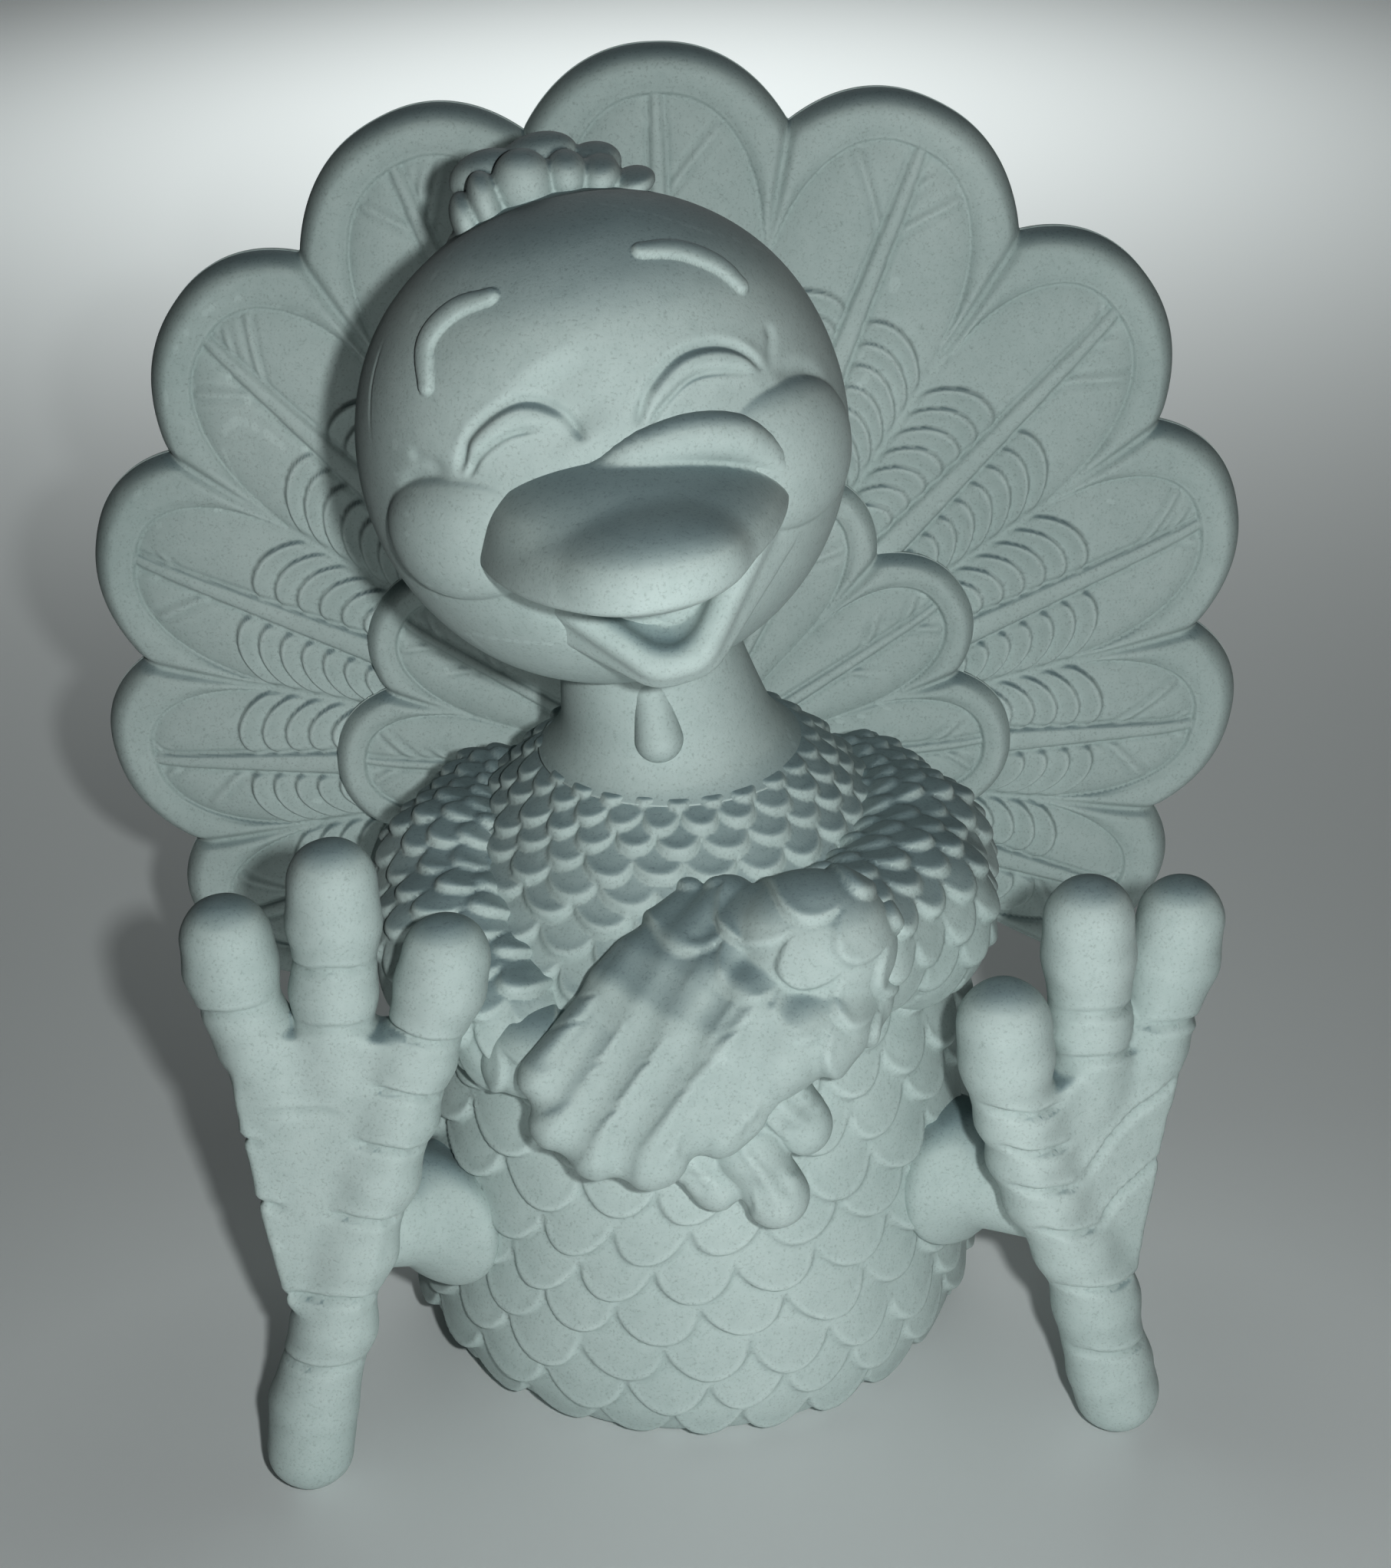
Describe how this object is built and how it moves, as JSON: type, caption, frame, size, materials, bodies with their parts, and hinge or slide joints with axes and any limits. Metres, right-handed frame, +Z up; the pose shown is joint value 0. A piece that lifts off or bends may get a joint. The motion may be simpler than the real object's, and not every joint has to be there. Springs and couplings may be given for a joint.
{
  "type": "ceramic turkey figurine",
  "caption": "Seated laughing turkey figurine in unpainted bisque ceramic, with a fanned tail, wings folded over the belly and big feet stretched forward.",
  "frame": {"origin": "on the resting surface, under the middle of the figure's outer box", "axes": "+Z up, the figure faces -Y, +X is the viewer's right"},
  "size_m": [0.1678, 0.1074, 0.1694],
  "materials": {
    "bisque": "unglazed, matt, chalky, pale cool grey"
  },
  "bodies": {
    "root": {"arm_left": "bisque", "arm_right": "bisque", "body_shell": "bisque", "comb_tuft": "bisque", "foot_left": "bisque", "foot_right": "bisque", "hand_left": "bisque", "hand_right": "bisque", "head_shell": "bisque", "leg_left": "bisque", "leg_right": "bisque", "lower_bill": "bisque", "neck_tube": "bisque", "tail_coverts": "bisque", "tail_fan": "bisque", "upper_bill": "bisque", "wattle_drop": "bisque"}
  },
  "joints": []
}
